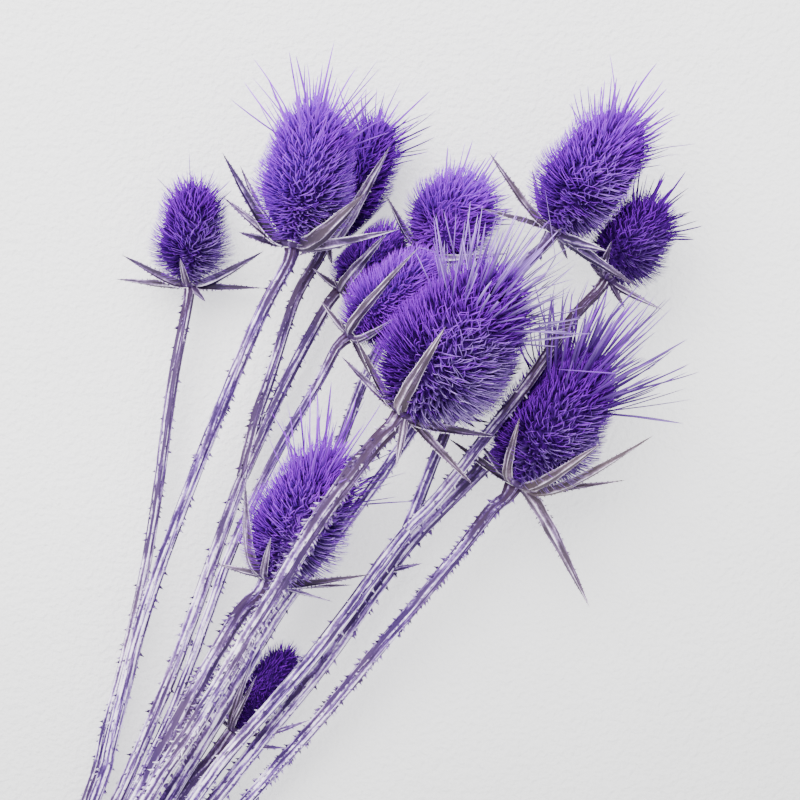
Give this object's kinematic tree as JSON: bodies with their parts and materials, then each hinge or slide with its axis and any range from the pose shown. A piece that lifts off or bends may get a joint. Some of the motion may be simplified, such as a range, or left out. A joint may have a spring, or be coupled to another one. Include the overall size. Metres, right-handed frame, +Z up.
{
  "type": "dried teasel bunch",
  "caption": "Tied bunch of dried, dyed teasels lying down: spiny egg-shaped heads with whorls of long bracts, on prickly forked stems, for display.",
  "frame": {"origin": "middle of the whole bunch seen from above, on the surface that it lies on", "axes": "+Z up from the surface, +Y along the bunch's box towards the heads, +X across"},
  "size_m": [0.398, 0.5788, 0.1125],
  "materials": {
    "head": "matt dyed seed head, deep violet with pale lilac spine tips",
    "bract": "dry leathery bract, pale lilac to greyish beige, faintly glossy edges",
    "stem": "dry ribbed stem, lilac with paler ribs and mauve-brown furrows",
    "tie": "dry raffia strands, pale straw colour"
  },
  "bodies": {
    "root": {"head_01": "head", "head_02": "head", "head_03": "head", "head_04": "head", "head_05": "head", "head_06": "head", "head_07": "head", "head_08": "head", "head_09": "head", "head_10": "head", "head_11": "head", "head_12": "head", "head_13": "head", "head_14": "head", "bracts_01": "bract", "bracts_02": "bract", "bracts_03": "bract", "bracts_04": "bract", "bracts_05": "bract", "bracts_06": "bract", "bracts_07": "bract", "bracts_08": "bract", "bracts_09": "bract", "bracts_10": "bract", "bracts_11": "bract", "bracts_12": "bract", "bracts_13": "bract", "bracts_14": "bract", "stem_01": "stem", "stem_02": "stem", "stem_03": "stem", "stem_04": "stem", "stem_05": "stem", "stem_06": "stem", "stem_07": "stem", "stem_08": "stem", "stem_09": "stem", "stem_10": "stem", "stem_11": "stem", "tie": "tie"}
  },
  "joints": []
}
